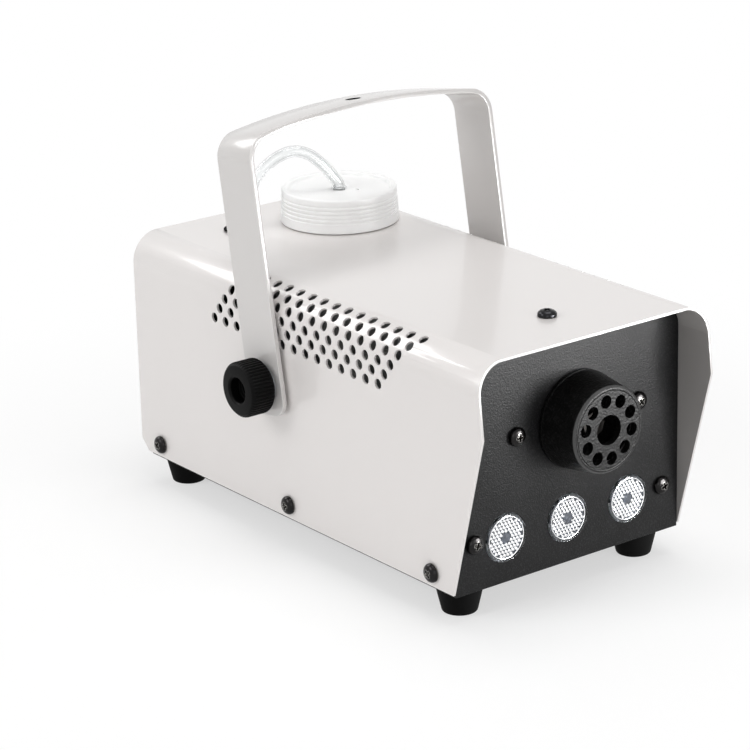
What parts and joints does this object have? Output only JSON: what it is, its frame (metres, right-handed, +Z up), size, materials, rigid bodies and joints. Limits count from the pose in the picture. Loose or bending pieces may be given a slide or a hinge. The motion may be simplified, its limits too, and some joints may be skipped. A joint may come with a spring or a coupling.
{
  "type": "fog machine",
  "caption": "Small stage fog machine with a vented steel case, tilting strap handle held by hand knobs, fluid tank with screw cap and feed hose, pump, heater, nozzle and lights.",
  "frame": {"origin": "on the floor, under the middle of the machine", "axes": "+Z up, +Y from the nozzle towards the rear panel, +X to the right for someone who faces the nozzle"},
  "size_m": [0.155, 0.24, 0.1807],
  "materials": {
    "white_enamel": "smooth semi-gloss enamel on bent steel sheet",
    "black_powder_coat": "fine-textured matt powder coat",
    "black_rubber": "matt moulded rubber",
    "dark_nickel": "dark nickel plating, glossy",
    "black_steel": "black oxide",
    "black_plastic": "moulded, lightly textured",
    "red_plastic": "moulded, glossy",
    "zinc_steel": "bright zinc plating",
    "white_nylon": "moulded",
    "cast_aluminium": "as cast",
    "glass_fibre": "needled mat",
    "brass": "turned",
    "clear_acrylic": "clear, polished",
    "milky_plastic": "translucent polyethylene",
    "clear_silicone": "clear extruded tube",
    "green_board": "glass epoxy board with solder mask",
    "grey_lead": "extruded"
  },
  "bodies": {
    "case": {"cover": "white_enamel", "chassis": "black_powder_coat", "foot_front_left": "black_rubber", "foot_front_right": "black_rubber", "foot_rear_left": "black_rubber", "foot_rear_right": "black_rubber", "side_screw_left_1": "dark_nickel", "side_screw_left_2": "dark_nickel", "side_screw_left_3": "dark_nickel", "side_screw_right_1": "dark_nickel", "side_screw_right_2": "dark_nickel", "side_screw_right_3": "dark_nickel", "panel_screw_1": "dark_nickel", "panel_screw_2": "dark_nickel", "panel_screw_3": "dark_nickel", "panel_screw_4": "dark_nickel", "top_screw": "black_steel", "nozzle_barrel": "black_plastic", "nozzle_disc": "black_plastic", "heater_block": "cast_aluminium", "heater_jacket": "glass_fibre", "heater_front_bracket": "zinc_steel", "heater_rear_bracket": "zinc_steel", "thermostat": "black_plastic", "thermal_fuse": "white_nylon", "outlet_pipe": "brass", "led_board": "cast_aluminium", "led_lens_left": "clear_acrylic", "led_lens_middle": "clear_acrylic", "led_lens_right": "clear_acrylic", "clamp_spacer_left": "white_nylon", "clamp_spacer_right": "white_nylon", "clamp_nut_left": "zinc_steel", "clamp_nut_right": "zinc_steel", "tank": "milky_plastic", "tank_pad": "black_rubber", "feed_hose": "clear_silicone", "hose_grommet": "black_rubber", "pump_coil": "zinc_steel", "pump_body": "brass", "pressure_tube": "white_nylon", "control_board": "green_board", "mains_inlet": "black_plastic", "switch_frame": "black_plastic", "fuse_holder": "black_plastic", "remote_socket": "zinc_steel", "mains_lead": "grey_lead"},
    "handle": {"handle": "white_enamel"},
    "left_washer": {"clamp_washer_left": "zinc_steel"},
    "left_knob": {"clamp_knob_left": "black_plastic", "clamp_stud_left": "zinc_steel"},
    "right_washer": {"clamp_washer_right": "zinc_steel"},
    "right_knob": {"clamp_knob_right": "black_plastic", "clamp_stud_right": "zinc_steel"},
    "pickup": {"pickup_tube": "clear_silicone", "pickup_filter": "brass"},
    "tank_cap": {"tank_cap": "milky_plastic"},
    "rocker": {"switch_rocker": "red_plastic"},
    "fuse_cap": {"fuse_cap": "black_plastic"},
    "plunger": {"pump_plunger": "zinc_steel"}
  },
  "joints": [
    {"name": "handle_tilt", "type": "hinge", "parent": "case", "child": "handle", "pos_m": [0, 0.0181, 0.0715], "axis": [1, 0, 0], "range_deg": [-24, 66]},
    {"name": "left_washer_slide", "type": "slide", "parent": "case", "child": "left_washer", "axis": [-1, 0, 0], "range_m": [0, 0.002]},
    {"name": "left_knob_turn", "type": "hinge", "parent": "left_washer", "child": "left_knob", "pos_m": [-0.0715, 0.0181, 0.0715], "axis": [-1, 0, 0], "range_deg": [0, 720]},
    {"name": "right_washer_slide", "type": "slide", "parent": "case", "child": "right_washer", "axis": [1, 0, 0], "range_m": [0, 0.002]},
    {"name": "right_knob_turn", "type": "hinge", "parent": "right_washer", "child": "right_knob", "pos_m": [0.0715, 0.0181, 0.0715], "axis": [1, 0, 0], "range_deg": [0, 720]},
    {"name": "cap_lift", "type": "slide", "parent": "case", "child": "pickup", "axis": [0, 0, 1], "range_m": [0, 0.006], "deforming": ["feed_hose"]},
    {"name": "cap_turn", "type": "hinge", "parent": "pickup", "child": "tank_cap", "pos_m": [0.022, 0.078, 0.12], "axis": [0, 0, 1], "range_deg": [0, 540]},
    {"name": "switch_rock", "type": "hinge", "parent": "case", "child": "rocker", "pos_m": [-0.04, 0.1131, 0.062], "axis": [1, 0, 0], "range_deg": [0, 16]},
    {"name": "fuse_cap_turn", "type": "hinge", "parent": "case", "child": "fuse_cap", "pos_m": [-0.016, 0.1165, 0.062], "axis": [0, 1, 0], "range_deg": [-90, 0]},
    {"name": "plunger_stroke", "type": "slide", "parent": "case", "child": "plunger", "axis": [0, 0, 1], "range_m": [0, 0.003], "stiffness_N_per_m": 150, "springref_m": -0.002}
  ],
  "couplings": [
    {"joint": "left_washer_slide", "follows": "left_knob_turn", "m_per_rad": 0.000159},
    {"joint": "right_washer_slide", "follows": "right_knob_turn", "m_per_rad": 0.000159},
    {"joint": "cap_lift", "follows": "cap_turn", "m_per_rad": 0.000636}
  ]
}
